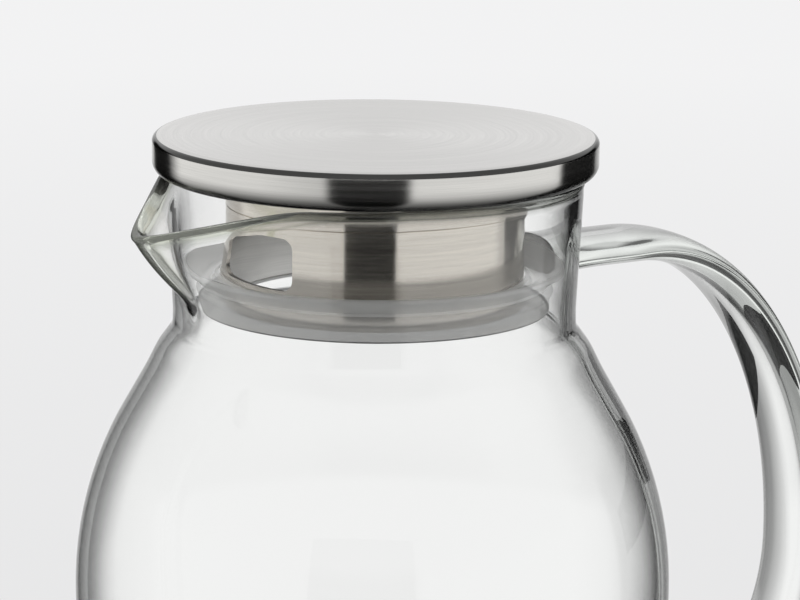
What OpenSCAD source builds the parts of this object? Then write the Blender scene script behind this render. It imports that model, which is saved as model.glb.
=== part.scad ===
// Glass jug with a pouring spout, a strap handle and a steel lid that lifts off and turns.
// Millimetres, Z up. The origin is the centre of the foot, the spout points to -X, the handle to +X.

/* [Jug] */
// Height of the rim above the table
rim_z = 214; // [190:0.5:240]
// Outer radius of the neck at the rim
neck_top_r = 48.6; // [42:0.1:54]
// Outer radius of the neck where it meets the shoulder
neck_low_r = 47.3; // [41:0.1:53]
// Widest outer radius of the belly
belly_r = 71.1; // [60:0.1:84]
// Height of the widest place
belly_z = 114.5; // [100:0.5:128]
// Radius of the arc from the shoulder to the widest place
shoulder_arc = 87; // [76:1:100]
// Angle of the shoulder where its straight stretch leaves the arc
shoulder_tilt = 30.8; // [27:0.1:34]
// Radius of the long arc from the widest place to the foot
lower_arc = 330; // [240:5:420]
// Radius of the corner round the foot
foot_corner = 17; // [10:0.5:24]
// Thickness of the glass wall
wall = 2.8; // [2:0.1:3.6]
// Thickness of the glass at the foot
foot_wall = 4.5; // [3:0.1:6]
// Radius of the rounded bead on the rim
bead_r = 1.7; // [1.5:0.05:2.1]

/* [Spout] */
// Reach of the spout's tip from the axis
tip_reach = 63; // [57:0.5:70]
// Drop of the tip below the rim
tip_drop = 9; // [5:0.5:12]
// Angle to each side of the spout where its lip leaves the rim
lip_spread = 34; // [28:0.5:40]
// Angle of the keel from the vertical
keel_tilt = 41.2; // [36:0.1:46]
// Outer radius of the rounded keel
keel_r = 5; // [3.8:0.1:7]

/* [Handle] */
// Width of the strap
strap_w = 23; // [18:0.1:30]
// Thickness of the strap
strap_t = 6.4; // [5.5:0.1:8.5]
// Height of the strap's middle where it leaves the neck
handle_top_z = 190.4; // [180:0.2:196]
// Distance from the axis where the upper bend starts
handle_start_r = 70.2; // [64:0.2:74]
// Sideways reach of the strap's middle beyond that start
handle_reach = 57.4; // [50:0.2:64]
// Height of the outermost place of the handle
handle_mid_z = 106.4; // [98:0.2:118]

/* [Lid] */
// Radius of the lid's disc
lid_r = 52; // [50:0.1:56]
// Height of the disc
lid_h = 8.6; // [7.6:0.1:11]
// Sheet thickness of the lid, its plate and its collar
sheet = 0.9; // [0.7:0.05:1.2]
// Rounding of the disc's upper edge
lid_top_round = 1.3; // [1.25:0.05:2]
// Rounding of the disc's lower edge
lid_low_round = 2.8; // [2.2:0.1:3.2]
// Width of the edge that is curled in under the disc
lid_curl = 5; // [4.4:0.1:7]
// Outer radius of the collar
collar_r = 35; // [31:0.1:37]
// Depth of the collar below the underside of the disc
collar_drop = 30.4; // [28:0.1:33]
// Turn of the window from the spout's middle
window_turn = 8.2; // [-20:0.2:20]
// Width of the window across the collar
window_w = 24.2; // [16:0.1:28]
// Height of the window
window_h = 12.4; // [8:0.1:13]
// Depth of the window's upper edge below the underside of the disc
window_drop = 10; // [8:0.1:11]
// Corner radius of the window
window_corner = 2.8; // [1:0.1:4]

/* [Seal] */
// Height of the seal
seal_h = 10.7; // [9:0.1:12]
// Outer radius of the lower rib
rib_r = 41.9; // [41:0.1:42.8]
// Outer radius of the seal at its foot
seal_low_r = 41.1; // [40:0.1:41.2]
// Thickness of the flared lip
lip_t = 1.4; // [1:0.1:1.8]
// Depth of the hollow between lip and collar
seal_hollow = 3; // [2:0.1:4]

/* [Clearances] */
// Gap between the rim and the disc that stands over it
rim_gap = 0.4; // [0.2:0.05:1]
// Gap between the seal's lip and the glass
lip_gap = 0.5; // [0.3:0.05:1]
// Gap between the collar and the seal
collar_gap = 0.3; // [0.2:0.05:0.6]
// Gap between the lid's plate and the inside of the cap
plate_gap = 0.3; // [0.2:0.05:0.6]

/* [Hidden] */
$fn = 96;
far = 400;
lap = 10;
lid_z = rim_z + rim_gap;
lid_top = lid_z + lid_h;
arc_r0 = belly_r - shoulder_arc;
tan_r = arc_r0 + shoulder_arc * cos(shoulder_tilt);
tan_z = belly_z + shoulder_arc * sin(shoulder_tilt);
shoulder_z = tan_z + (tan_r - neck_low_r) / tan(shoulder_tilt);
low_r0 = belly_r - lower_arc;
bead_z = rim_z - bead_r;
bead_mid = neck_top_r - wall / 2 + 0.3;
foot_r = low_r0 + sqrt(pow(lower_arc - foot_corner, 2) - pow(belly_z - foot_corner, 2));
foot_tilt = asin((belly_z - foot_corner) / (lower_arc - foot_corner));
foot_join = foot_corner * (1 - sin(foot_tilt));
handle_split = asin(0.6);
handle_rise = handle_top_z - handle_mid_z;
handle_bend = (3 * handle_reach - handle_rise) / 2;
handle_side = 5 * handle_reach - 4 * handle_bend;
plate_r = lid_r - lid_low_round - plate_gap;
plate_z = lid_z + sheet;
collar_low = lid_z - collar_drop;
seal_low = collar_low - 1;
seal_top = seal_low + seal_h;
lip_r = neck_r(seal_top) - wall - lip_gap;
lip_round = lip_t / 2;
bore_r = collar_r + collar_gap;
lip_point = [tip_reach - (neck_top_r - 0.2) * cos(lip_spread), rim_z - 0.5 - (rim_z - tip_drop)];
lip_in = lip_point[0] * cos(keel_tilt) + lip_point[1] * sin(keel_tilt);
keel_half = atan((neck_top_r - 0.2) * sin(lip_spread) / lip_in);
lip_tilt = atan(lip_point[1] / lip_point[0]);

function neck_r(z) = neck_low_r + (neck_top_r - neck_low_r) * (z - shoulder_z) / (rim_z - shoulder_z);

// Half outline of the jug, drawn inwards by t, with the foot's inside at height base
module jug_half(t, base) {
    top = [neck_top_r - t, rim_z + t];
    corner = [neck_low_r - t, shoulder_z + t * tan(shoulder_tilt / 2)];
    side = [tan_r - t * cos(shoulder_tilt), tan_z - t * sin(shoulder_tilt)];
    neck = [neck_r(bead_z) - t, bead_z];
    crown = t > 0 ? top : neck;
    polygon([[0, side[1] - lap], [side[0] - 2 * lap, side[1] - lap], side, corner, crown, [0, crown[1]]]);
    intersection() {
        translate([arc_r0, belly_z]) circle(shoulder_arc - t);
        translate([0, belly_z - lap]) square([far, side[1] - belly_z + 2 * lap]);
    }
    intersection() {
        translate([low_r0, belly_z]) circle(lower_arc - t, $fn = 480);
        translate([0, foot_join]) square([far, belly_z - foot_join]);
        translate([0, base]) square([far, far]);
    }
    intersection() {
        union() {
            translate([foot_r, foot_corner]) circle(foot_corner - t);
            square([foot_r, foot_join + foot_corner]);
        }
        translate([0, base]) square([far, foot_corner + foot_join]);
    }
}

// V with a rounded keel, drawn inwards by t, set along the spout's keel
module spout_v(t) {
    r = keel_r - t;
    arm = lip_in + 6;
    turn = 90 - keel_half;
    half_w = r * sin(turn) + (arm - keel_r + r * cos(turn)) * tan(keel_half);
    round = [for (i = [-4:4]) [keel_r - r * cos(turn * i / 4), r * sin(turn * i / 4)]];
    translate([-tip_reach, 0, rim_z - tip_drop])
        rotate([0, -keel_tilt, 0])
            translate([0, 0, -far / 8])
                linear_extrude(far / 4) polygon(concat(round, [[arm, half_w], [arm, -half_w]]));
}

// Space below the sloping lip of the spout and above the lower end of its keel
module spout_range() {
    intersection() {
        translate([-tip_reach, 0, rim_z - tip_drop])
            rotate([0, -lip_tilt, 0])
                translate([-20, -50, -60]) cube([tip_reach, 100, 60]);
        translate([-100, -50, shoulder_z]) cube([100, 100, rim_z - shoulder_z]);
    }
}

module jug_body() {
    color([0.86, 0.9, 0.88, 0.35]) difference() {
        union() {
            rotate_extrude() jug_half(0, 0);
            rotate_extrude() translate([bead_mid, bead_z]) circle(bead_r);
            intersection() {
                spout_v(0);
                spout_range();
            }
        }
        rotate_extrude() jug_half(wall, foot_wall);
        intersection() {
            spout_v(wall);
            translate([-100, -50, shoulder_z]) cube([100 - collar_r, 100, 80]);
        }
    }
}

// Flat strap with round edges, thickness along x and width along y
module strap() {
    square([strap_t, strap_w - strap_t], center = true);
    translate([0, (strap_w - strap_t) / 2]) circle(strap_t / 2);
    translate([0, -(strap_w - strap_t) / 2]) circle(strap_t / 2);
}

// Bend of the strap about a level axis at [x, z], from angle a through sweep s
module bend(x, z, r, a, s) {
    translate([x, 0, z]) rotate([90, 0, 0]) rotate([0, 0, a])
        rotate_extrude(angle = s) translate([r, 0]) strap();
}

// Straight level stretch of the strap from x0 to x1 at height z
module level(x0, x1, z) {
    translate([x0, 0, z]) rotate([0, 90, 0]) linear_extrude(x1 - x0) strap();
}

module handle() {
    color([0.86, 0.9, 0.88, 0.35]) difference() {
        union() {
            level(neck_low_r - wall, handle_start_r, handle_top_z);
            bend(handle_start_r, handle_top_z - handle_bend, handle_bend, 90, handle_split - 90);
            bend(handle_start_r + handle_reach - handle_side, handle_mid_z, handle_side, 0, handle_split);
            bend(handle_start_r, handle_mid_z, handle_reach, -90, 90);
            level(handle_start_r - handle_bend, handle_start_r, handle_mid_z - handle_reach);
        }
        rotate_extrude() jug_half(0, 0);
    }
}

// Half outline of the lid's disc, drawn inwards by t
module disc_half(t) {
    rt = lid_top_round - t;
    rl = lid_low_round - t;
    translate([0, lid_z + t]) square([lid_r - lid_low_round, lid_h - 2 * t]);
    translate([0, lid_z + lid_low_round]) square([lid_r - t, lid_h - lid_low_round - lid_top_round]);
    translate([0, lid_top - lid_top_round]) square([lid_r - lid_top_round, rt]);
    translate([lid_r - lid_top_round, lid_top - lid_top_round]) circle(rt);
    translate([lid_r - lid_low_round, lid_z + lid_low_round]) circle(rl);
}

module lid_cap() {
    color([0.72, 0.71, 0.69]) rotate_extrude() difference() {
        disc_half(0);
        disc_half(sheet);
        translate([0, lid_z - 1]) square([lid_r - lid_curl, 1 + 2 * sheet]);
    }
}

module lid_plate() {
    color([0.66, 0.65, 0.63]) translate([0, 0, plate_z]) cylinder(h = sheet, r = plate_r);
}

// Rounded rectangle about the origin
module window_shape() {
    square([window_w - 2 * window_corner, window_h], center = true);
    square([window_w, window_h - 2 * window_corner], center = true);
    for (x = [-1, 1])
        for (y = [-1, 1])
            translate([x * (window_w / 2 - window_corner), y * (window_h / 2 - window_corner)])
                circle(window_corner, $fn = 32);
}

module collar() {
    color([0.7, 0.68, 0.65]) difference() {
        translate([0, 0, collar_low]) cylinder(h = plate_z - collar_low, r = collar_r);
        translate([0, 0, collar_low - 1]) cylinder(h = plate_z - collar_low + 2, r = collar_r - sheet);
        rotate([0, 0, 180 + window_turn]) translate([collar_r / 2, 0, lid_z - window_drop - window_h / 2])
            rotate([90, 0, 90]) linear_extrude(collar_r) window_shape();
    }
}

module seal_ring() {
    hollow_z = seal_top - lip_t - seal_hollow;
    rib_round = 1.5;
    foot_round = 1.6;
    waist = rib_r - 0.8;
    rib_z = seal_low + 4.8;
    color([0.62, 0.63, 0.62]) rotate_extrude() difference() {
        union() {
            translate([bore_r, seal_low]) square([seal_low_r - foot_round - bore_r, hollow_z - seal_low]);
            translate([bore_r, seal_low + foot_round])
                square([seal_low_r - bore_r, rib_z - seal_low - foot_round]);
            translate([seal_low_r - foot_round, seal_low + foot_round]) circle(foot_round);
            translate([rib_r - rib_round, rib_z]) circle(rib_round);
            polygon([
                [seal_low_r - 2.6, rib_z],
                [waist - 0.4, rib_z],
                [waist - 0.4, rib_z + 1.8],
                [lip_r - lip_round, seal_top - lip_t],
                [lip_r - lip_round, seal_top],
                [seal_low_r - 1.5, seal_top - 2],
                [seal_low_r - 2.6, hollow_z]
            ]);
            translate([lip_r - lip_round, seal_top - lip_round]) circle(lip_round);
            translate([collar_r - sheet, seal_low])
                square([sheet + 2, collar_low - collar_gap - seal_low]);
        }
        translate([waist + 0.1, rib_z + 1.9]) circle(0.5);
    }
}

jug_body();
handle();
lid_cap();
lid_plate();
collar();
seal_ring();
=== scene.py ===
import math

import bpy
from bpy.props import FloatProperty, FloatVectorProperty, IntProperty, PointerProperty
from mathutils import Matrix, Vector


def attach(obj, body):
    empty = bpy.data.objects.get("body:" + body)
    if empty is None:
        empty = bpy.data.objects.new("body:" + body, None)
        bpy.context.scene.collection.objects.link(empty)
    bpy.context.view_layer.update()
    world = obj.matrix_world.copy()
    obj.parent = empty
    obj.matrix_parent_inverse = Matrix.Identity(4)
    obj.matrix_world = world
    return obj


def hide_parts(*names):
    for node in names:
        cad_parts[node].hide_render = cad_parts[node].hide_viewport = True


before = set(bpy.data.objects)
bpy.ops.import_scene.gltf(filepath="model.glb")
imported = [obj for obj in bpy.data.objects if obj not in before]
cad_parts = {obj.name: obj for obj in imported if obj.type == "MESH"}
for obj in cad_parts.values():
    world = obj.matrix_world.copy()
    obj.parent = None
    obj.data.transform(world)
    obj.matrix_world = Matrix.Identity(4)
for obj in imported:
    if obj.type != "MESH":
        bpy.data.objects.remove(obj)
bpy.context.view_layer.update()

bl_info = {
    "name": "Glass jug with steel lid",
    "version": (1, 0, 0),
    "blender": (4, 5, 0),
    "location": "View3D > Sidebar > Jug",
    "description": "Models a glass jug with spout, strap handle and lift-off steel lid round its solids",
    "category": "Mesh",
}

# outer radius of the glass at the handle's upper and lower root
NECK_ROOT = 0.0476
BELLY_ROOT = 0.0648
# degrees from a direction's own angle to its bearing, which is 0 behind the camera
TO_BEARING = 120.5


def length(name, description, default):
    """A size in metres that the sidebar shows as a length."""
    return FloatProperty(name=name, description=description, default=default, unit="LENGTH", precision=4)


def angle(name, description, degrees):
    """An angle that the sidebar shows in degrees."""
    return FloatProperty(name=name, description=description, default=math.radians(degrees), unit="ROTATION")


def colour(name, description, default):
    """A colour swatch."""
    return FloatVectorProperty(name=name, description=description, default=default, subtype="COLOR",
                               size=3, min=0.0, max=1.0)


class JugSizes(bpy.types.PropertyGroup):
    """Sizes of the blown glass"""
    rim_z: length("Rim height", "Height of the rim above the table", 0.214)
    neck_top: length("Neck at the rim", "Outer radius of the neck below the rim", 0.0486)
    neck_low: length("Neck at the shoulder", "Outer radius of the neck at its lower end", 0.0473)
    neck_low_z: length("Neck end", "Height at which the neck ends", 0.1792)
    belly: length("Belly radius", "Widest outer radius", 0.0711)
    belly_z: length("Belly height", "Height of the widest place", 0.1145)
    shoulder_arc: length("Shoulder arc", "Radius of the arc above the widest place", 0.087)
    shoulder_tilt: angle("Shoulder angle", "Slope at which the shoulder leaves its arc", 30.8)
    lower_arc: length("Lower arc", "Radius of the long arc below the widest place", 0.330)
    foot_corner: length("Foot corner", "Radius of the corner round the foot", 0.017)
    wall: length("Wall", "Thickness of the glass", 0.0028)
    foot_wall: length("Foot thickness", "Thickness of the glass at the foot", 0.0045)
    bead: length("Rim bead", "Radius of the fire-rounded rim", 0.0017)
    steps: IntProperty(name="Steps round", description="Faces round the jug", default=320, min=64, max=512)


class SpoutSizes(bpy.types.PropertyGroup):
    """Sizes of the pulled spout"""
    reach: length("Reach", "Distance of the tip from the axis", 0.063)
    drop: length("Drop", "Depth of the tip below the rim", 0.009)
    start: length("Start", "Distance from the axis at which the lip begins to sink", 0.0400)
    keel_tilt: angle("Keel angle", "Slope of the keel from the vertical", 41.2)
    keel_bulge: length("Keel bulge", "How far the keel swells out between its ends", 0.0015)
    half_angle: angle("Half angle", "Half the angle between the spout's sides, seen from above", 42.2)
    blend: length("Blend", "Softness of the passage into the neck", 0.0026)


class HandleSizes(bpy.types.PropertyGroup):
    """Sizes of the fused strap handle"""
    width: length("Width", "Width of the strap", 0.0250)
    thick: length("Thickness", "Thickness of the strap", 0.0079)
    top_z: length("Upper height", "Height of the strap's middle at the neck", 0.1903)
    start: length("Bend start", "Distance from the axis at which the bends begin", 0.0706)
    reach: length("Reach", "Reach of the strap's middle beyond that", 0.0572)
    mid_z: length("Outermost height", "Height of the outermost place", 0.1045)
    fullness: FloatProperty(name="Fullness", description="Squareness of the section, 2 for an ellipse",
                            default=2.2)


class LidSizes(bpy.types.PropertyGroup):
    """Sizes of the lid, its plate and its collar"""
    radius: length("Disc radius", "Radius of the lid's disc", 0.052)
    low_z: length("Underside", "Height of the disc's underside", 0.2144)
    height: length("Disc height", "Height of the disc", 0.0086)
    sheet: length("Sheet", "Thickness of the steel sheet", 0.0009)
    top_round: length("Upper rounding", "Radius of the upper edge", 0.0013)
    low_round: length("Lower rounding", "Radius of the lower edge", 0.0028)
    curl: length("Curl", "Width of the edge turned in below", 0.005)
    plate: length("Plate radius", "Radius of the closing plate", 0.0489)
    collar: length("Collar radius", "Outer radius of the collar", 0.035)
    collar_low: length("Collar end", "Height of the collar's lower edge", 0.184)
    window_turn: angle("Window turn", "Turn of the window from the spout", 8.2)
    window_w: length("Window width", "Width of the window across the collar", 0.0242)
    window_h: length("Window height", "Height of the window", 0.0124)
    window_mid: length("Window middle", "Height of the window's middle", 0.1982)
    window_corner: length("Window corner", "Corner radius of the window", 0.0028)


class SealSizes(bpy.types.PropertyGroup):
    """Sizes of the silicone seal"""
    low_z: length("Lower end", "Height of the seal's foot", 0.183)
    top_z: length("Upper end", "Height of the flared lip", 0.1937)
    bore: length("Bore", "Inner radius round the collar", 0.0353)
    lip: length("Lip radius", "Outer radius of the flared lip", 0.04456)
    rib: length("Rib radius", "Outer radius of the lower rib", 0.0419)
    foot: length("Foot radius", "Outer radius at the foot", 0.0411)
    hollow_z: length("Hollow floor", "Height of the floor between lip and collar", 0.1893)


class Finishes(bpy.types.PropertyGroup):
    """Colours of the materials and of the studio"""
    glass: colour("Glass", "Tint of the glass", (1.0, 1.0, 1.0))
    # the rim below the lid: glass tinted dark grey, a painted reflection of the lid's dark underside
    glass_rim_painted_shade: colour("Glass rim", "Tint of the rim below the lid", (0.26, 0.27, 0.25))
    glass_edge: colour("Glass edge", "Tint of the spout's lip and keel", (0.90, 0.935, 0.82))
    glass_depth: colour("Glass depth", "Colour that thick glass takes on", (0.35, 0.85, 0.30))
    steel: colour("Steel", "Brushed steel", (0.74, 0.73, 0.70))
    lid_top: colour("Lid top", "Spun steel of the lid's upper face", (0.70, 0.69, 0.675))
    # the lid's rounded upper edge: polished steel painted near black, a painted dark reflection
    lid_edge_painted_dark: colour("Lid edge", "Polished steel of the lid's rounded edges", (0.075, 0.075, 0.073))
    collar: colour("Collar steel", "Warmer steel of the collar", (0.71, 0.67, 0.61))
    collar_inside: colour("Collar inside", "Duller steel inside the collar", (0.74, 0.73, 0.71))
    silicone: colour("Silicone", "Grey of the seal", (0.94, 0.945, 0.94))
    backdrop: colour("Backdrop", "Pale studio background", (0.89, 0.89, 0.895))


def deselect():
    """Back to object mode with nothing selected."""
    if bpy.context.object and bpy.context.object.mode != "OBJECT":
        bpy.ops.object.mode_set(mode="OBJECT")
    bpy.ops.object.select_all(action="DESELECT")


def name_piece(name):
    """Names the new object and its mesh."""
    piece = bpy.context.object
    piece.name = name
    piece.data.name = name
    return piece


def turn_profile(name, line, steps):
    """Draws a line of (radius, height) points from one shrunken plane and spins it round the jug's axis."""
    deselect()
    bpy.ops.mesh.primitive_plane_add(size=0.002)
    piece = name_piece(name)
    bpy.ops.object.mode_set(mode="EDIT")
    bpy.ops.mesh.select_mode(type="VERT")
    bpy.ops.mesh.select_all(action="SELECT")
    bpy.ops.mesh.merge(type="CENTER")
    bpy.ops.transform.translate(value=(line[0][0], 0, line[0][1]))
    for (r0, z0), (r1, z1) in zip(line, line[1:]):
        bpy.ops.mesh.extrude_region_move(TRANSFORM_OT_translate={"value": (r1 - r0, 0, z1 - z0)})
    bpy.ops.mesh.select_all(action="SELECT")
    bpy.ops.mesh.spin(steps=steps, angle=2 * math.pi, center=(0, 0, 0), axis=(0, 0, 1))
    bpy.ops.mesh.select_all(action="SELECT")
    bpy.ops.mesh.remove_doubles(threshold=1e-6)
    bpy.ops.mesh.normals_make_consistent(inside=False)
    bpy.ops.object.mode_set(mode="OBJECT")
    return piece


def arc(r, z, radius, a0, a1, count):
    """Points of an arc about (r, z) from angle a0 to a1 in degrees."""
    return [(r + radius * math.cos(math.radians(a0 + (a1 - a0) * i / count)),
             z + radius * math.sin(math.radians(a0 + (a1 - a0) * i / count))) for i in range(count + 1)]


def spline(points, count):
    """Smooth curve through a few points, count steps to each stretch."""
    out = []
    for i in range(len(points) - 1):
        p0, p1 = points[max(i - 1, 0)], points[i]
        p2, p3 = points[i + 1], points[min(i + 2, len(points) - 1)]
        for k in range(count):
            t = k / count
            out.append(tuple(0.5 * (2 * b + (c - a) * t + (2 * a - 5 * b + 4 * c - d) * t * t
                                    + (3 * b - a - 3 * c + d) * t ** 3)
                             for a, b, c, d in zip(p0, p1, p2, p3)))
    return out + [points[-1]]


def inset_line(line, depth):
    """The line moved to its left-hand side by a depth, so a profile drawn upwards moves inwards."""
    out = []
    for i, (r, z) in enumerate(line):
        r0, z0 = line[max(i - 1, 0)]
        r1, z1 = line[min(i + 1, len(line) - 1)]
        n = math.hypot(r1 - r0, z1 - z0)
        out.append((r - (z1 - z0) / n * depth, z + (r1 - r0) / n * depth))
    return out


def smooth(piece, degrees=40):
    """Smooth shading with crisp edges kept."""
    deselect()
    piece.select_set(True)
    bpy.context.view_layer.objects.active = piece
    bpy.ops.object.shade_smooth_by_angle(angle=math.radians(degrees))


def apply_boolean(piece, tool, operation):
    """Joins or cuts one closed mesh with another and removes the tool."""
    deselect()
    piece.select_set(True)
    bpy.context.view_layer.objects.active = piece
    mod = piece.modifiers.new("Boolean", "BOOLEAN")
    mod.operation = operation
    mod.solver = "EXACT"
    mod.object = tool
    bpy.ops.object.modifier_apply(modifier=mod.name)
    deselect()
    tool.select_set(True)
    bpy.ops.object.delete()


def add_node(tree, kind, **inputs):
    """A shader node with its inputs set by name, as in 'Base_Color'."""
    node = tree.nodes.new(kind)
    for key, value in inputs.items():
        node.inputs[key.replace("_", " ")].default_value = value
    return node


def feed(tree, sockets, values):
    """Links each output to its socket, or sets the socket to a constant."""
    for socket, value in zip(sockets, values):
        if isinstance(value, bpy.types.NodeSocket):
            tree.links.new(value, socket)
        else:
            socket.default_value = value


def math_node(tree, operation, *values):
    """The result of a math node on outputs or numbers."""
    node = tree.nodes.new("ShaderNodeMath")
    node.operation = operation
    feed(tree, node.inputs, values)
    return node.outputs[0]


def vector_node(tree, operation, *values):
    """The result of a vector math node: a number for a length, and a vector otherwise."""
    node = tree.nodes.new("ShaderNodeVectorMath")
    node.operation = operation
    feed(tree, node.inputs, values)
    return node.outputs["Value" if operation == "LENGTH" else "Vector"]


def map_range(tree, value, low, high, first, last, curve="LINEAR"):
    """Passes from the first number to the last while a value goes from low to high."""
    node = add_node(tree, "ShaderNodeMapRange", From_Min=low, From_Max=high, To_Min=first, To_Max=last)
    node.interpolation_type = curve
    tree.links.new(value, node.inputs["Value"])
    return node.outputs[0]


def mix_colours(tree, share, first, second, blend="MIX"):
    """Two colours, mixed or multiplied by a share of the second."""
    node = tree.nodes.new("ShaderNodeMix")
    node.data_type = "RGBA"
    node.blend_type = blend
    feed(tree, (node.inputs[0], node.inputs[6], node.inputs[7]), (share, first, second))
    return node.outputs[2]


def mix_shaders(tree, share, first, second):
    """Two shaders, mixed by a share of the second."""
    node = tree.nodes.new("ShaderNodeMixShader")
    feed(tree, node.inputs, (share, first, second))
    return node.outputs[0]


def new_material(name):
    """An empty node material with its output and a principled shader joined to it."""
    mat = bpy.data.materials.new(name)
    mat.use_nodes = True
    tree = mat.node_tree
    tree.nodes.clear()
    out = tree.nodes.new("ShaderNodeOutputMaterial")
    shader = tree.nodes.new("ShaderNodeBsdfPrincipled")
    tree.links.new(shader.outputs[0], out.inputs["Surface"])
    return mat, tree, shader, out


def glass_material(finish, s, h):
    """Clear blown glass: faint waves in its surface, painted shade where it is seen edge on and on the rim
    below the lid, a green cast where it is thick, and a soft haze on the inside of the wall where the
    handle's roots were fused to it."""
    mat, tree, shader, out = new_material("clear_glass")
    link = tree.links.new
    shader.inputs["Specular Tint"].default_value = (0.7, 0.7, 0.7, 1)
    shader.inputs["Roughness"].default_value = 0.0
    shader.inputs["IOR"].default_value = 1.474
    place = tree.nodes.new("ShaderNodeTexCoord")
    waves = add_node(tree, "ShaderNodeTexNoise", Scale=28.0, Detail=1.5)
    bump = add_node(tree, "ShaderNodeBump", Strength=0.018, Distance=0.0006)
    link(place.outputs["Object"], waves.inputs["Vector"])
    link(waves.outputs["Fac"], bump.inputs["Height"])
    link(bump.outputs[0], shader.inputs["Normal"])
    tint = (*finish.glass, 1)
    # the rim below the lid is painted dark as a painted reflection; the spout's lip and keel take a green
    # tint
    for name, edge_colour in (("rim_painted_shade", finish.glass_rim_painted_shade), ("spout_edge", finish.glass_edge)):
        part = tree.nodes.new("ShaderNodeAttribute")
        part.attribute_name = name
        edge = part.outputs["Fac"]
        tint = mix_colours(tree, edge, tint, (*edge_colour, 1))
    # painted shade: the glass's colour darkens where it is seen edge on, in place of the dark surroundings
    graze = add_node(tree, "ShaderNodeLayerWeight", Blend=0.5)
    edge_on_painted_shade = map_range(tree, graze.outputs["Facing"], 0.58, 0.90, 1.0, 0.015)
    link(mix_colours(tree, 1.0, tint, edge_on_painted_shade, "MULTIPLY"), shader.inputs["Base Color"])
    # the spout's edges and the roots let less light pass
    passing = map_range(tree, edge, 0.0, 1.0, 1.0, 0.88)
    haze_size = (0.004, h.width * 0.60, h.thick * 0.66)
    for middle in ((NECK_ROOT - s.wall, 0, h.top_z), (BELLY_ROOT - s.wall, 0, h.mid_z - h.reach)):
        offset = vector_node(tree, "SUBTRACT", place.outputs["Object"], middle)
        share = vector_node(tree, "DIVIDE", offset, haze_size)
        haze = map_range(tree, vector_node(tree, "LENGTH", share), 0.70, 1.05, 0.20, 1.0)
        passing = math_node(tree, "MINIMUM", passing, haze)
    link(passing, shader.inputs["Transmission Weight"])
    depth = add_node(tree, "ShaderNodeVolumeAbsorption", Color=(*finish.glass_depth, 1), Density=2.0)
    link(depth.outputs[0], out.inputs["Volume"])
    return mat


def steel_material(name, base, flat, rough=0.25, anisotropic=0.95, under=None):
    """Brushed steel. Flat faces are spun, with rings round the axis, and upright faces have level brush
    lines. under gives two heights between which a turned-under edge darkens with painted shade."""
    mat, tree, shader, _ = new_material(name)
    link = tree.links.new
    shader.inputs["Metallic"].default_value = 1.0
    shader.inputs["Anisotropic"].default_value = anisotropic
    shader.inputs["Anisotropic Rotation"].default_value = 0.25
    place = tree.nodes.new("ShaderNodeTexCoord")
    split = tree.nodes.new("ShaderNodeSeparateXYZ")
    link(place.outputs["Object"], split.inputs[0])
    x, y, z = split.outputs
    level = tree.nodes.new("ShaderNodeCombineXYZ")
    feed(tree, level.inputs, (x, y))
    radius = vector_node(tree, "LENGTH", level.outputs[0])
    # brush lines: very fine across the stroke, long along it
    along = math_node(tree, "MULTIPLY", math_node(tree, "ARCTAN2", y, x), 0.0004)
    stroke = tree.nodes.new("ShaderNodeCombineXYZ")
    feed(tree, stroke.inputs, (radius if flat else z, along))
    fine = add_node(tree, "ShaderNodeTexNoise", Scale=5200.0, Detail=2.0, Roughness=0.7)
    broad = add_node(tree, "ShaderNodeTexNoise", Scale=900.0, Detail=2.0, Roughness=0.6)
    for noise in (fine, broad):
        link(stroke.outputs[0], noise.inputs["Vector"])
    lines = math_node(tree, "ADD", fine.outputs["Fac"], broad.outputs["Fac"])
    spread = 0.31 if flat else 0.40
    tone = map_range(tree, lines, 1 - spread, 1 + spread, 0.86, 1.08)
    tint = mix_colours(tree, 1.0, (*base, 1), tone, "MULTIPLY")
    # painted shade: the base colour darkens between the two heights in under, where the edge turns under
    if under:
        shade = map_range(tree, z, under[0], under[1], 0.06, 1.0, "SMOOTHSTEP")
        tint = mix_colours(tree, 1.0, tint, shade, "MULTIPLY")
    link(tint, shader.inputs["Base Color"])
    matt = map_range(tree, lines, 0.6, 1.4, rough - 0.03, rough + 0.05)
    link(matt, shader.inputs["Roughness"])
    bump = add_node(tree, "ShaderNodeBump", Strength=0.06, Distance=0.00004)
    link(lines, bump.inputs["Height"])
    link(bump.outputs[0], shader.inputs["Normal"])
    lay = tree.nodes.new("ShaderNodeTangent")
    lay.direction_type = "RADIAL"
    lay.axis = "Z"
    link(lay.outputs[0], shader.inputs["Tangent"])
    return mat


def silicone_material(name, finish, milky, shade=1.0):
    """Soft grey silicone: a milky skin through which the steel behind it still shows. shade darkens it as
    painted shade.
    """
    mat, tree, shader, out = new_material(name)
    link = tree.links.new
    shader.inputs["Roughness"].default_value = 0.30
    shader.inputs["IOR"].default_value = 1.41
    place = tree.nodes.new("ShaderNodeTexCoord")
    cloud = add_node(tree, "ShaderNodeTexNoise", Scale=90.0, Detail=3.0)
    link(place.outputs["Object"], cloud.inputs["Vector"])
    tone = tree.nodes.new("ShaderNodeValToRGB")
    low, high = tone.color_ramp.elements
    low.color = (*[c * 0.93 * shade for c in finish.silicone], 1)
    high.color = (*[min(c * 1.06, 1) * shade for c in finish.silicone], 1)
    link(cloud.outputs["Fac"], tone.inputs["Fac"])
    link(tone.outputs["Color"], shader.inputs["Base Color"])
    skin = add_node(tree, "ShaderNodeTexNoise", Scale=2400.0, Detail=2.0)
    link(place.outputs["Object"], skin.inputs["Vector"])
    bump = add_node(tree, "ShaderNodeBump", Strength=0.08, Distance=0.00003)
    link(skin.outputs["Fac"], bump.inputs["Height"])
    link(bump.outputs[0], shader.inputs["Normal"])
    clear = tree.nodes.new("ShaderNodeBsdfTransparent")
    veil = mix_shaders(tree, milky, clear.outputs[0], shader.outputs[0])
    link(veil, out.inputs["Surface"])
    return mat


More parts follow.
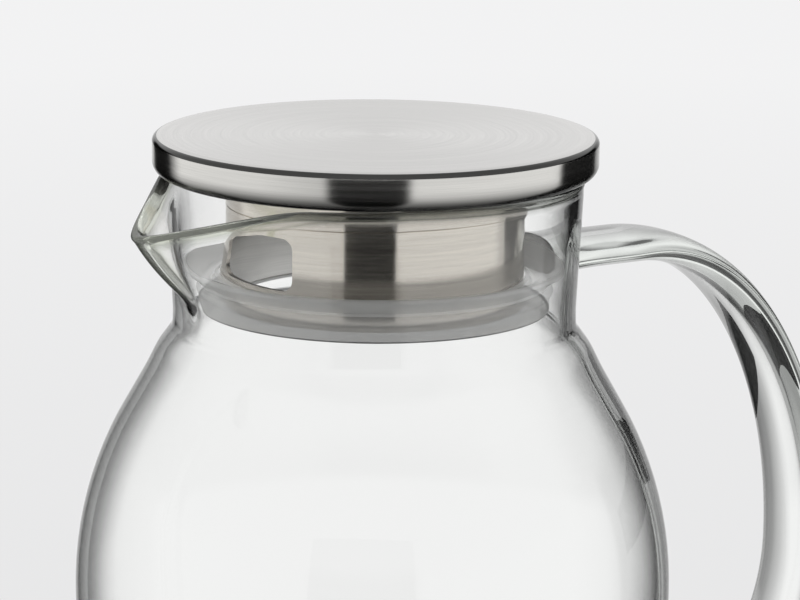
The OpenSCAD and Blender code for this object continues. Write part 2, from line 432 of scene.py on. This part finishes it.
def jug_outside(s):
    """Outer profile from the edge of the foot up to the neck's top, as (radius, height)."""
    low_r = s.belly - s.lower_arc
    foot_r = low_r + math.sqrt((s.lower_arc - s.foot_corner) ** 2 - (s.belly_z - s.foot_corner) ** 2)
    tilt = math.degrees(math.asin((s.belly_z - s.foot_corner) / (s.lower_arc - s.foot_corner)))
    line = arc(foot_r, s.foot_corner, s.foot_corner, -90, -tilt, 10)
    line += arc(low_r, s.belly_z, s.lower_arc, -tilt, 0, 12)[1:]
    lean = math.degrees(s.shoulder_tilt)
    line += arc(s.belly - s.shoulder_arc, s.belly_z, s.shoulder_arc, 0, lean, 12)[1:]
    r, z = line[-1]
    low, top = s.neck_low, s.neck_low_z
    bend = [(0.0542, 0.1672), (0.0513, 0.1728), (0.0489, 0.1762), (low + 0.0003, top - 0.0008),
            (low + 0.0001, top + 0.002)]
    line += spline([(r, z)] + bend, 4)[1:]
    line += [(low + (s.neck_top - low) * i / 14, top + 0.002 + (s.rim_z - 0.006 - top) * i / 14)
             for i in range(1, 15)]
    return line


def neck_radius(s, z):
    """Outer radius of the neck at a height."""
    return s.neck_low + (s.neck_top - s.neck_low) * (z - s.neck_low_z) / (s.rim_z - 0.004 - s.neck_low_z)


def held(value):
    """The value held between 0 and 1."""
    return min(max(value, 0), 1)


def soft_max(a, b, k):
    """The larger of two lengths, with a soft passage between them."""
    return 0.5 * (a + b + math.sqrt((a - b) ** 2 + k * k))


def spout_radius(s, p, z, phi):
    """Radius of the pulled spout's outside at a height and an angle from its middle."""
    tip_z = s.rim_z - p.drop
    keel_foot_z = 0.186
    fall = (tip_z - z) / (tip_z - keel_foot_z)
    keel = p.reach - (tip_z - z) * math.tan(p.keel_tilt)
    keel += p.keel_bulge * math.sin(math.pi * held(fall))
    round_off = 0.07
    side = math.sqrt(math.sin(phi) ** 2 + round_off ** 2) - round_off
    return keel / (math.cos(phi) + side / math.tan(p.half_angle))


def pull_spout(piece, s, p):
    """Pulls the spout out of the neck: each neck point moves out to the spout's sides and its lip sinks to
    the tip. Two attributes mark the rim, which the glass paints dark as a painted reflection, and the
    spout's edges for the glass."""
    foot_z = 0.178
    bead_z = s.rim_z - 0.005
    widest, fade_over = 1.2, 0.4
    lip_softness = 9e-6
    lip_depth, lip_fade = 0.0022, 0.0006
    full_pull, full_sink = 0.006, 0.004
    thickening = 0.30
    keel_angle, keel_fade = 0.08, 0.05
    rim_painted_shade = piece.data.attributes.new("rim_painted_shade", "FLOAT", "POINT")
    spout_edge = piece.data.attributes.new("spout_edge", "FLOAT", "POINT")
    for i, v in enumerate(piece.data.vertices):
        x, y, z = v.co
        r = math.hypot(x, y)
        phi = abs(math.atan2(y, -x))
        lip = held((z - s.rim_z + lip_depth) / lip_fade)
        rim_painted_shade.data[i].value = lip
        if z < foot_z or phi > widest:
            continue
        fade = held((widest - phi) / fade_over)
        outer = neck_radius(s, z)
        depth = (outer - r) / s.wall
        top = s.rim_z
        for _ in range(12):
            wide = soft_max(neck_radius(s, top), spout_radius(s, p, top, phi), p.blend)
            out = wide * math.cos(phi) - p.start
            sink = 0.5 * (out + math.sqrt(out * out + lip_softness))
            top = s.rim_z - sink * p.drop / (p.reach - p.start)
        if z > bead_z:
            new_z = top - (s.rim_z - z)
        else:
            new_z = foot_z + (z - foot_z) * (top - s.rim_z + bead_z - foot_z) / (bead_z - foot_z)
        base = neck_radius(s, new_z)
        pulled = soft_max(base, spout_radius(s, p, new_z, phi), p.blend)
        away = held((pulled - base) / full_pull)
        thick = s.wall * (1 + thickening * away)
        new_r = pulled - depth * thick
        new_r = r + (new_r - r) * fade
        new_z = z + (new_z - z) * fade
        v.co = (x / r * new_r, y / r * new_r, new_z)
        sunk = held((s.rim_z - top) / full_sink)
        keel = held((keel_angle - phi) / keel_fade)
        spout_edge.data[i].value = max(lip * sunk, keel * away)


class MESH_OT_jug_glass(bpy.types.Operator):
    """Blows the jug, pulls its spout and fuses the strap handle to it"""
    bl_idname = "mesh.jug_glass"
    bl_label = "Glass jug and handle"

    def execute(self, context):
        s, p, h = context.scene.jug_sizes, context.scene.spout_sizes, context.scene.handle_sizes
        outside = jug_outside(s)
        inside = inset_line(outside, s.wall)
        lift = s.foot_wall - s.wall
        inside = [(r, z + lift * max(0, 1 - (z - s.wall) / 0.03)) for r, z in inside]
        mid, low = s.neck_top - s.wall / 2 + 0.0001, s.rim_z - s.bead * 0.8
        bead = [(mid + (r - mid) * 0.9, low + (z - low) * 0.8)
                for r, z in arc(mid, low, s.bead, -25, 205, 16)]
        foot_r = outside[0][0]
        line = [(0, 0), (foot_r * 0.35, 0), (foot_r * 0.7, 0), (foot_r * 0.92, 0)] + outside + bead
        line += inside[::-1] + [(foot_r * 0.7, s.foot_wall), (foot_r * 0.35, s.foot_wall), (0, s.foot_wall)]
        jug = turn_profile("glass_jug", line, s.steps)
        pull_spout(jug, s, p)
        strap = self.strap(h)
        apply_boolean(jug, strap, "UNION")
        for name in ("rim_painted_shade", "spout_edge"):
            for v, mark in zip(jug.data.vertices, jug.data.attributes[name].data):
                if v.co.z < s.rim_z - 0.004 and v.co.x > 0:
                    mark.value = 0
        smooth(jug, 50)
        jug.data.materials.clear()
        jug.data.materials.append(glass_material(context.scene.finishes, s, h))
        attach(jug, "jug")
        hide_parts("jug_body", "handle")
        return {"FINISHED"}

    def strap(self, h):
        """Pulls a flattened ring step by step along the handle's bow, and flares both ends at the jug."""
        rise = h.top_z - h.mid_z
        low_z = h.mid_z - h.reach
        start, end = 0.0462, 0.0632
        parting_z = 0.15
        flare_reach, flare_wide, flare_thick = 0.013, 0.10, 0.12
        sunk = 0.0013
        path = [(start + (h.start - start) * i / 10, h.top_z, 0) for i in range(11)]
        for i in range(1, 97):
            a = math.pi * i / 96
            drop = rise if a < math.pi / 2 else h.reach
            path.append((h.start + h.reach * math.sin(a), h.mid_z + drop * math.cos(a),
                         math.atan2(drop * math.sin(a), h.reach * math.cos(a))))
        path += [(h.start + (end - h.start) * i / 4, low_z, math.pi) for i in range(1, 5)]
        deselect()
        bpy.ops.mesh.primitive_circle_add(vertices=72, radius=1, fill_type="NOTHING")
        strap = name_piece("strap_handle")
        for v in strap.data.vertices:
            c, d = v.co.x, v.co.y
            full = math.sqrt(max(0, 1 - abs(d) ** h.fullness))
            v.co = (start, d * h.width / 2, h.top_z + math.copysign(full, c) * h.thick / 2)
        bpy.ops.object.mode_set(mode="EDIT")
        bpy.ops.mesh.select_all(action="SELECT")
        for (x0, z0, t0), (x1, z1, t1) in zip(path, path[1:]):
            bpy.ops.mesh.extrude_region_move(TRANSFORM_OT_translate={"value": (x1 - x0, 0, z1 - z0)})
            bpy.ops.transform.rotate(value=t0 - t1, orient_axis="Y", center_override=(x1, 0, z1))
        bpy.ops.mesh.edge_face_add()
        bpy.ops.object.mode_set(mode="OBJECT")
        for v in strap.data.vertices:
            x, y, z = v.co
            upper = z > parting_z
            root_r = NECK_ROOT if upper else BELLY_ROOT
            if upper and x > h.start or not upper and (x > h.start + 0.004 or z > low_z + 0.01):
                continue
            mid = h.top_z if upper else low_z
            near = max(0, 1 - (math.hypot(x, y) - root_r) / flare_reach)
            y *= 1 + flare_wide * near ** 2
            z = mid + (z - mid) * (1 + flare_thick * near ** 2)
            if x < (start + 0.0005 if upper else end + 0.0001):
                deep = root_r - sunk - (0 if upper else (low_z - z) * 0.2)
                x = math.sqrt(deep ** 2 - y ** 2)
            v.co = (x, y, z)
        bpy.ops.object.mode_set(mode="EDIT")
        bpy.ops.mesh.select_all(action="DESELECT")
        bpy.ops.mesh.select_non_manifold(extend=False, use_wire=False, use_multi_face=False,
                                         use_non_contiguous=False, use_verts=False)
        bpy.ops.mesh.edge_face_add()
        bpy.ops.mesh.select_all(action="SELECT")
        bpy.ops.mesh.normals_make_consistent(inside=False)
        bpy.ops.object.mode_set(mode="OBJECT")
        return strap


class MESH_OT_jug_lid_cap(bpy.types.Operator):
    """Spins the lid's hollow disc"""
    bl_idname = "mesh.jug_lid_cap"
    bl_label = "Lid cap"

    def execute(self, context):
        s = context.scene.lid_sizes
        top, r = s.low_z + s.height, s.radius
        line = [(0, top), (0.01, top), (0.025, top), (0.04, top), (r - s.top_round - 0.003, top)]
        line += arc(r - s.top_round, top - s.top_round, s.top_round, 90, 0, 8)
        side = s.height - s.low_round - s.top_round
        line += [(r, s.low_z + s.low_round + side * t) for t in (0.66, 0.33)]
        line += arc(r - s.low_round, s.low_z + s.low_round, s.low_round, 0, -90, 10)
        line += [(r - s.curl, s.low_z), (r - s.curl, s.low_z + s.sheet)]
        line += arc(r - s.low_round, s.low_z + s.low_round, s.low_round - s.sheet, -90, 0, 6)
        line += arc(r - s.top_round, top - s.top_round, s.top_round - s.sheet, 0, 90, 4)
        line += [(0.025, top - s.sheet), (0, top - s.sheet)]
        cap = turn_profile("lid_cap_steel", line, 192)
        smooth(cap, 40)
        cap.data.materials.clear()
        finish = context.scene.finishes
        # painted shade on the brushed side, between these heights where its lower edge turns under
        shade = (s.low_z + 0.0008, s.low_z + 0.0046)
        # painted dark reflection: the polished upper edge is steel painted near black
        for steel in (
                steel_material("spun_steel", finish.lid_top, flat=True, rough=0.16, anisotropic=0.66),
                steel_material("brushed_rim_painted_shade", finish.steel, flat=False, rough=0.17, under=shade),
                steel_material("polished_edge_painted_dark", finish.lid_edge_painted_dark, flat=False, rough=0.10, anisotropic=0.0)):
            cap.data.materials.append(steel)
        spun, brushed, polished = range(3)
        for face in cap.data.polygons:
            up = face.normal.z
            edge = up > 0.1 and face.center.z > top - s.top_round
            face.material_index = spun if abs(up) > 0.985 else polished if edge else brushed
        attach(cap, "lid")
        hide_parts("lid_cap")
        return {"FINISHED"}


class MESH_OT_jug_lid_plate(bpy.types.Operator):
    """Presses the plate that closes the lid from below"""
    bl_idname = "mesh.jug_lid_plate"
    bl_label = "Lid plate"

    def execute(self, context):
        s = context.scene.lid_sizes
        low = s.low_z + s.sheet
        line = [(0, low), (0.015, low), (s.collar + 0.002, low), (s.plate - 0.0003, low),
                (s.plate, low + 0.0003), (s.plate, low + s.sheet - 0.0002),
                (s.plate - 0.0002, low + s.sheet), (0.02, low + s.sheet), (0, low + s.sheet)]
        plate = turn_profile("lid_plate_steel", line, 128)
        smooth(plate, 40)
        plate.data.materials.clear()
        finish = context.scene.finishes
        plate.data.materials.append(steel_material("plate_steel", finish.steel, flat=True, rough=0.32))
        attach(plate, "lid")
        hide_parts("lid_plate")
        return {"FINISHED"}


class MESH_OT_jug_collar(bpy.types.Operator):
    """Rolls the collar and cuts its pouring window"""
    bl_idname = "mesh.jug_collar"
    bl_label = "Collar"

    def execute(self, context):
        s = context.scene.lid_sizes
        top, r, t = s.low_z + s.sheet, s.collar, s.sheet
        edge = 0.0003
        groove, half_width, depth = 0.2071, 0.00014, 0.00018
        line = [(r - t, top), (r, top), (r, groove + half_width), (r - depth, groove),
                (r, groove - half_width)]
        line += [(r, groove + (s.collar_low + edge - groove) * k / 8) for k in range(1, 8)]
        line += arc(r - edge, s.collar_low + edge, edge, 0, -90, 3)
        line += arc(r - t + edge, s.collar_low + edge, edge, -90, -180, 3)
        line += [(r - t, top + (s.collar_low + edge - top) * k / 8) for k in range(7, 0, -1)]
        line += [(r - t, top)]
        collar = turn_profile("collar_steel", line, 256)
        apply_boolean(collar, self.cutter(s), "DIFFERENCE")
        smooth(collar, 35)
        collar.data.materials.clear()
        finish = context.scene.finishes
        for name, base, rough, anisotropic in (("collar_steel", finish.collar, 0.14, 0.75),
                                               ("collar_inside", finish.collar_inside, 0.42, 0.40)):
            collar.data.materials.append(steel_material(name, base, False, rough, anisotropic))
        for face in collar.data.polygons:
            out = face.normal.x * face.center.x + face.normal.y * face.center.y
            face.material_index = 1 if out < -0.5 * s.collar else 0
        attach(collar, "lid")
        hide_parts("collar")
        return {"FINISHED"}

    def cutter(self, s):
        """A block with rounded corners that stands through the collar's wall at the window."""
        deselect()
        bpy.ops.mesh.primitive_cube_add(size=1)
        block = name_piece("window_cutter")
        bpy.ops.object.mode_set(mode="EDIT")
        bpy.ops.mesh.select_all(action="SELECT")
        bpy.ops.transform.resize(value=(0.03, s.window_w, s.window_h))
        bpy.ops.object.mode_set(mode="OBJECT")
        for edge in block.data.edges:
            a, b = (block.data.vertices[i].co for i in edge.vertices)
            edge.select = abs(a.x - b.x) > 0.01
        bpy.ops.object.mode_set(mode="EDIT")
        bpy.ops.mesh.select_mode(type="EDGE")
        bpy.ops.mesh.bevel(offset=s.window_corner, segments=8)
        bpy.ops.object.mode_set(mode="OBJECT")
        block.location = (-s.collar, 0, s.window_mid)
        bpy.ops.object.transform_apply(location=True)
        block.rotation_euler = (0, 0, s.window_turn)
        bpy.ops.object.transform_apply(rotation=True)
        return block


class MESH_OT_jug_seal(bpy.types.Operator):
    """Moulds the silicone seal"""
    bl_idname = "mesh.jug_seal"
    bl_label = "Silicone seal"

    def execute(self, context):
        s = context.scene.seal_sizes
        rib_z = s.low_z + 0.0048
        foot_round, rib_round, lip_round = 0.0006, 0.0012, 0.0007
        line = [(s.bore - 0.0012, s.low_z + 0.0002)]
        line += arc(s.foot - foot_round, s.low_z + foot_round, foot_round, -90, 0, 6)
        line += [(s.foot, rib_z - 0.0016)]
        line += arc(s.rib - rib_round, rib_z, rib_round, -50, 50, 8)
        line += [(s.foot - 0.0004, rib_z + 0.0013), (s.foot - 0.0005, rib_z + 0.0019)]
        line += [(s.lip - 0.0016, s.top_z - 0.0022)]
        line += arc(s.lip - lip_round, s.top_z - lip_round, lip_round, -45, 110, 8)
        line += [(0.0396, s.top_z - 0.0018), (0.0390, s.top_z - 0.0024), (0.0384, s.hollow_z + 0.0006)]
        line += [(0.0378, s.hollow_z), (s.bore + 0.0016, s.hollow_z), (s.bore + 0.0011, s.hollow_z + 0.0005)]
        line += [(s.bore + 0.0010, s.hollow_z + 0.0012), (s.bore, s.hollow_z + 0.0014)]
        line += [(s.bore, s.low_z + 0.0010), (s.bore - 0.0012, s.low_z + 0.0008)]
        line += [(s.bore - 0.0012, s.low_z + 0.0002)]
        seal = turn_profile("silicone_seal", line, 192)
        smooth(seal, 35)
        seal.data.materials.clear()
        finish = context.scene.finishes
        for name, milky in (("silicone_wall", 0.30), ("silicone_foot", 0.85), ("silicone_bore", 0.12),
                            ("silicone_lip", 0.58), ("silicone_hollow", 0.28)):
            seal.data.materials.append(silicone_material(name, finish, milky))
        # painted shade: the seal's lower outer corner is opaque silicone darkened to a fifth
        seal.data.materials.append(silicone_material("silicone_edge_painted_shade", finish, milky=1.0, shade=0.2))
        foot, bore, lip, hollow, edge = range(1, 6)
        for face in seal.data.polygons:
            r = math.hypot(face.center.x, face.center.y)
            inner = r < s.bore + 0.0002
            outward = face.normal.x * face.center.x + face.normal.y * face.center.y > 0
            # the lower outer corner takes the painted shade
            if r > s.foot - 0.0007 and face.center.z < s.low_z + 0.0004:
                face.material_index = edge
            elif face.center.z < s.low_z + 0.0011 and (inner or face.normal.z < -0.6):
                face.material_index = foot
            elif inner:
                face.material_index = bore
            elif face.center.z > s.hollow_z - 0.0001:
                face.material_index = lip if outward else hollow
        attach(seal, "seal")
        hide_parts("seal_ring")
        return {"FINISHED"}


class SCENE_OT_jug_stage(bpy.types.Operator):
    """Sets the pale floor, the studio world, the lamps and the camera"""
    bl_idname = "scene.jug_stage"
    bl_label = "Stage"

    def execute(self, context):
        finish = context.scene.finishes
        self.floor(finish)
        self.world(context.scene, finish)
        self.card("front_card", bearing=-3, away=0.20, wide=0.126, low=0.135, high=0.205)
        self.card("right_card", bearing=135, away=0.50, wide=0.43, low=0.08, high=0.16)
        self.lamp("key_softbox", place=(-0.55, -0.75, 1.05), size=(0.9, 0.7), power=9.0)
        self.lamp("top_softbox", place=(0.25, 0.35, 1.15), size=(1.0, 0.8), power=7.0)
        self.camera(context.scene)
        context.scene.view_settings.view_transform = "Standard"
        return {"FINISHED"}

    def floor(self, finish):
        """A wide pale floor that keeps the shadow close to the jug and melts into the backdrop."""
        deselect()
        bpy.ops.mesh.primitive_plane_add(size=12)
        floor = name_piece("floor")
        bpy.ops.object.mode_set(mode="EDIT")
        bpy.ops.mesh.subdivide(number_cuts=7)
        bpy.ops.object.mode_set(mode="OBJECT")
        mat, tree, shader, out = new_material("pale_floor")
        tree.nodes.remove(shader)
        link = tree.links.new
        matt = add_node(tree, "ShaderNodeBsdfDiffuse", Color=(0.82, 0.82, 0.82, 1)).outputs[0]
        place = tree.nodes.new("ShaderNodeTexCoord")
        far = vector_node(tree, "LENGTH", place.outputs["Object"])
        ray = tree.nodes.new("ShaderNodeLightPath")
        backdrop = (*finish.backdrop, 1)
        # straight to the camera: the shadow's surroundings pass into the backdrop's even tone
        glow = add_node(tree, "ShaderNodeEmission", Color=backdrop)
        link(map_range(tree, far, 0.25, 1.6, 0.90, 1.0), glow.inputs["Strength"])
        fade = map_range(tree, far, 0.12, 0.30, 0.30, 1.0)
        straight = mix_shaders(tree, fade, matt, glow.outputs[0])
        # in steel and glass: a small pale table that ends close to the jug
        pale = add_node(tree, "ShaderNodeEmission", Color=backdrop)
        under = mix_shaders(tree, 0.55, matt, pale.outputs[0])
        edge = map_range(tree, far, 0.07, 0.16, 0.20, 1.0)
        clear = tree.nodes.new("ShaderNodeBsdfTransparent")
        mirrored = mix_shaders(tree, edge, under, clear.outputs[0])
        lit = mix_shaders(tree, self.seen(tree, ray), matt, mirrored)
        link(mix_shaders(tree, ray.outputs["Is Camera Ray"], lit, straight), out.inputs["Surface"])
        floor.data.materials.append(mat)

    def card(self, name, bearing, away, wide, low, high):
        """A dark upright card beside the jug. The camera doesn't see it straight or in steel; only rays
        through the glass meet it.
        """
        deselect()
        bpy.ops.mesh.primitive_plane_add(size=1)
        card = name_piece(name)
        turn = math.radians(bearing - TO_BEARING)
        out = Vector((math.cos(turn), math.sin(turn), 0))
        side = Vector((-out.y, out.x, 0))
        for v in card.data.vertices:
            across, up = v.co.x * wide, (low + high) / 2 + v.co.y * (high - low)
            v.co = out * away + side * across + Vector((0, 0, up))
        mat, _, shader, _ = new_material(name)
        shader.inputs["Base Color"].default_value = (0.008, 0.008, 0.008, 1)
        shader.inputs["Roughness"].default_value = 0.9
        card.data.materials.append(mat)
        card.visible_camera = card.visible_diffuse = card.visible_shadow = False
        card.visible_glossy = False

    def seen(self, tree, ray):
        """1 for rays by which the camera sees the stage, straight, in metal or through glass."""
        total = ray.outputs["Is Camera Ray"]
        for name in ("Is Glossy Ray", "Is Transmission Ray"):
            total = math_node(tree, "MAXIMUM", total, ray.outputs[name])
        return total

    def bearing(self, tree, place):
        """Direction round the jug from 0 to 1, and its height. 0.5 lies behind the camera, and both ends lie
        behind the jug."""
        split = tree.nodes.new("ShaderNodeSeparateXYZ")
        tree.links.new(place, split.inputs[0])
        x, y, z = split.outputs
        around = math_node(tree, "ARCTAN2", y, x)
        turn = math_node(tree, "ADD", around, math.radians(TO_BEARING))
        wrap = math_node(tree, "WRAP", turn, math.pi, -math.pi)
        return map_range(tree, wrap, -math.pi, math.pi, 0.0, 1.0), z

    def ring(self, tree, bearing, stops):
        """Brightness of the studio by bearing, from (degrees, level) stops."""
        ramp = tree.nodes.new("ShaderNodeValToRGB")
        elements = ramp.color_ramp.elements
        elements[0].color = (*[stops[0][1]] * 3, 1)
        elements[-1].color = (*[stops[0][1]] * 3, 1)
        for deg, level in stops[1:]:
            elements.new((deg + 180) / 360).color = (level, level, level, 1)
        tree.links.new(bearing, ramp.inputs["Fac"])
        return ramp.outputs["Color"]

    def blend(self, tree, height, low, high, first, second):
        """Passes from one tone to another between two heights of the direction."""
        first, second = ((v, v, v, 1) if isinstance(v, float) else v for v in (first, second))
        return mix_colours(tree, map_range(tree, height, low, high, 0.0, 1.0), first, second)

    def world(self, scene, finish):
        """A white studio with grey sides beside the backdrop. Steel also mirrors dark cards beside the
        backdrop and behind the camera, below a pale ceiling."""
        world = bpy.data.worlds.new("studio")
        world.use_nodes = True
        scene.world = world
        tree = world.node_tree
        tree.nodes.clear()
        out = tree.nodes.new("ShaderNodeOutputWorld")
        place = tree.nodes.new("ShaderNodeTexCoord")
        bearing, height = self.bearing(tree, place.outputs["Generated"])
        # what steel and the glass surface reflect
        cards = self.ring(tree, bearing, (
            (-180, 0.89), (-172, 0.89), (-164, 0.62), (-158.5, 0.42), (-156.5, 0.006), (-130, 0.006),
            (-118, 0.95), (-60, 0.86), (-26, 0.66), (-22, 0.006), (16, 0.006), (20, 0.86), (107, 0.95),
            (110, 0.008), (152, 0.008), (154, 0.30), (164, 0.55), (172, 0.89)))
        mirrored = self.blend(tree, height, 0.17, 0.26, cards, 0.76)
        # what is seen through the glass, from the table up to the dim ceiling
        table = self.ring(tree, bearing, (
            (-180, 0.10), (-162, 0.05), (-154, 0.05), (-148, 0.40), (-120, 0.34), (-100, 0.30), (-88, 0.58),
            (-60, 0.58), (-48, 0.34), (-36, 0.20), (16, 0.20), (30, 0.40), (60, 0.50), (165, 0.62),
            (170, 0.40), (176, 0.12)))
        backdrop = self.ring(tree, bearing, (
            (-180, 0.89), (-172, 0.89), (-164, 0.76), (-158, 0.62), (-130, 0.60), (-118, 0.92), (-26, 0.82),
            (20, 0.86), (103, 0.92), (110, 0.62), (134, 0.58), (141, 0.30), (155, 0.30), (160, 0.42),
            (164, 0.52), (170, 0.77), (174, 0.89)))
        wall = self.ring(tree, bearing, (
            (-180, 0.86), (-170, 0.80), (-160, 0.62), (-156, 0.58), (-130, 0.58), (-118, 0.92), (-26, 0.82),
            (20, 0.86), (103, 0.92), (112, 0.58), (146, 0.48), (156, 0.44), (160, 0.50), (168, 0.62),
            (176, 0.80)))
        above = self.ring(tree, bearing, (
            (-180, 0.86), (-160, 0.70), (-130, 0.60), (-118, 0.90), (-26, 0.82), (20, 0.86), (100, 0.95),
            (110, 0.60), (160, 0.60), (172, 0.70)))
        through = 0.10
        for low, high, tone in ((-0.88, -0.80, table), (-0.43, -0.37, backdrop), (-0.17, -0.03, wall),
                                (0.16, 0.26, above), (0.64, 0.88, 0.05)):
            through = self.blend(tree, height, low, high, through, tone)
        ray = tree.nodes.new("ShaderNodeLightPath")
        soft = add_node(tree, "ShaderNodeBackground", Color=(0.80, 0.80, 0.80, 1))
        light = soft.outputs[0]
        for output, tone in (("Is Glossy Ray", mirrored), ("Is Transmission Ray", through),
                             ("Is Camera Ray", (*finish.backdrop, 1))):
            shade = tree.nodes.new("ShaderNodeBackground")
            feed(tree, [shade.inputs["Color"]], [tone])
            light = mix_shaders(tree, ray.outputs[output], light, shade.outputs[0])
        tree.links.new(light, out.inputs["Surface"])

    def lamp(self, name, place, size, power):
        """A soft rectangular lamp that faces the lid."""
        deselect()
        bpy.ops.object.light_add(type="AREA", location=place)
        lamp = bpy.context.object
        lamp.name = name
        lamp.data.shape = "RECTANGLE"
        lamp.data.size, lamp.data.size_y = size
        lamp.data.energy = power
        lamp.visible_glossy = False
        lamp.visible_transmission = False
        target = Vector((0, 0, 0.18))
        lamp.rotation_euler = (Vector(place) - target).to_track_quat("Z", "Y").to_euler()

    def camera(self, scene):
        """A long lens at the photograph's height, turn and slight roll."""
        deselect()
        bpy.ops.object.camera_add()
        camera = bpy.context.object
        camera.name = "camera"
        camera.data.lens = 135.0
        camera.data.sensor_width = 36.0
        camera.data.clip_end = 50
        turn, tilt, away = math.radians(-30), math.radians(9.8), 0.6987
        back = Vector((math.sin(turn) * math.cos(tilt), -math.cos(turn) * math.cos(tilt), math.sin(tilt)))
        lid_top = Vector((0, 0, 0.223))
        camera.location = lid_top + back * away
        heading, dip, roll = -30.495, 12.963, 0.55
        aim = (Matrix.Rotation(math.radians(heading), 3, "Z")
               @ Matrix.Rotation(math.radians(90 - dip), 3, "X")
               @ Matrix.Rotation(math.radians(roll), 3, "Z"))
        camera.rotation_euler = aim.to_euler()
        scene.camera = camera


class VIEW3D_PT_jug(bpy.types.Panel):
    """Buttons for the jug's pieces"""
    bl_idname = "VIEW3D_PT_jug"
    bl_label = "Glass jug"
    bl_space_type = "VIEW_3D"
    bl_region_type = "UI"
    bl_category = "Jug"

    def draw(self, context):
        for operator in OPERATORS:
            self.layout.operator(operator.bl_idname)
        for group in GROUPS:
            for key in GROUPS[group].__annotations__:
                self.layout.prop(getattr(context.scene, group), key)


GROUPS = {"jug_sizes": JugSizes, "spout_sizes": SpoutSizes, "handle_sizes": HandleSizes,
          "lid_sizes": LidSizes, "seal_sizes": SealSizes, "finishes": Finishes}
OPERATORS = (SCENE_OT_jug_stage, MESH_OT_jug_glass, MESH_OT_jug_lid_cap, MESH_OT_jug_lid_plate,
             MESH_OT_jug_collar, MESH_OT_jug_seal)


def register():
    for cls in (*GROUPS.values(), *OPERATORS, VIEW3D_PT_jug):
        bpy.utils.register_class(cls)
    for key, group in GROUPS.items():
        setattr(bpy.types.Scene, key, PointerProperty(type=group))


def unregister():
    for key in GROUPS:
        delattr(bpy.types.Scene, key)
    for cls in (VIEW3D_PT_jug, *OPERATORS[::-1], *reversed(GROUPS.values())):
        bpy.utils.unregister_class(cls)


def main():
    """Makes the stage and every piece."""
    register()
    bpy.ops.scene.jug_stage()
    bpy.ops.mesh.jug_glass()
    bpy.ops.mesh.jug_lid_cap()
    bpy.ops.mesh.jug_lid_plate()
    bpy.ops.mesh.jug_collar()
    bpy.ops.mesh.jug_seal()
    deselect()


if __name__ == "__main__":
    main()
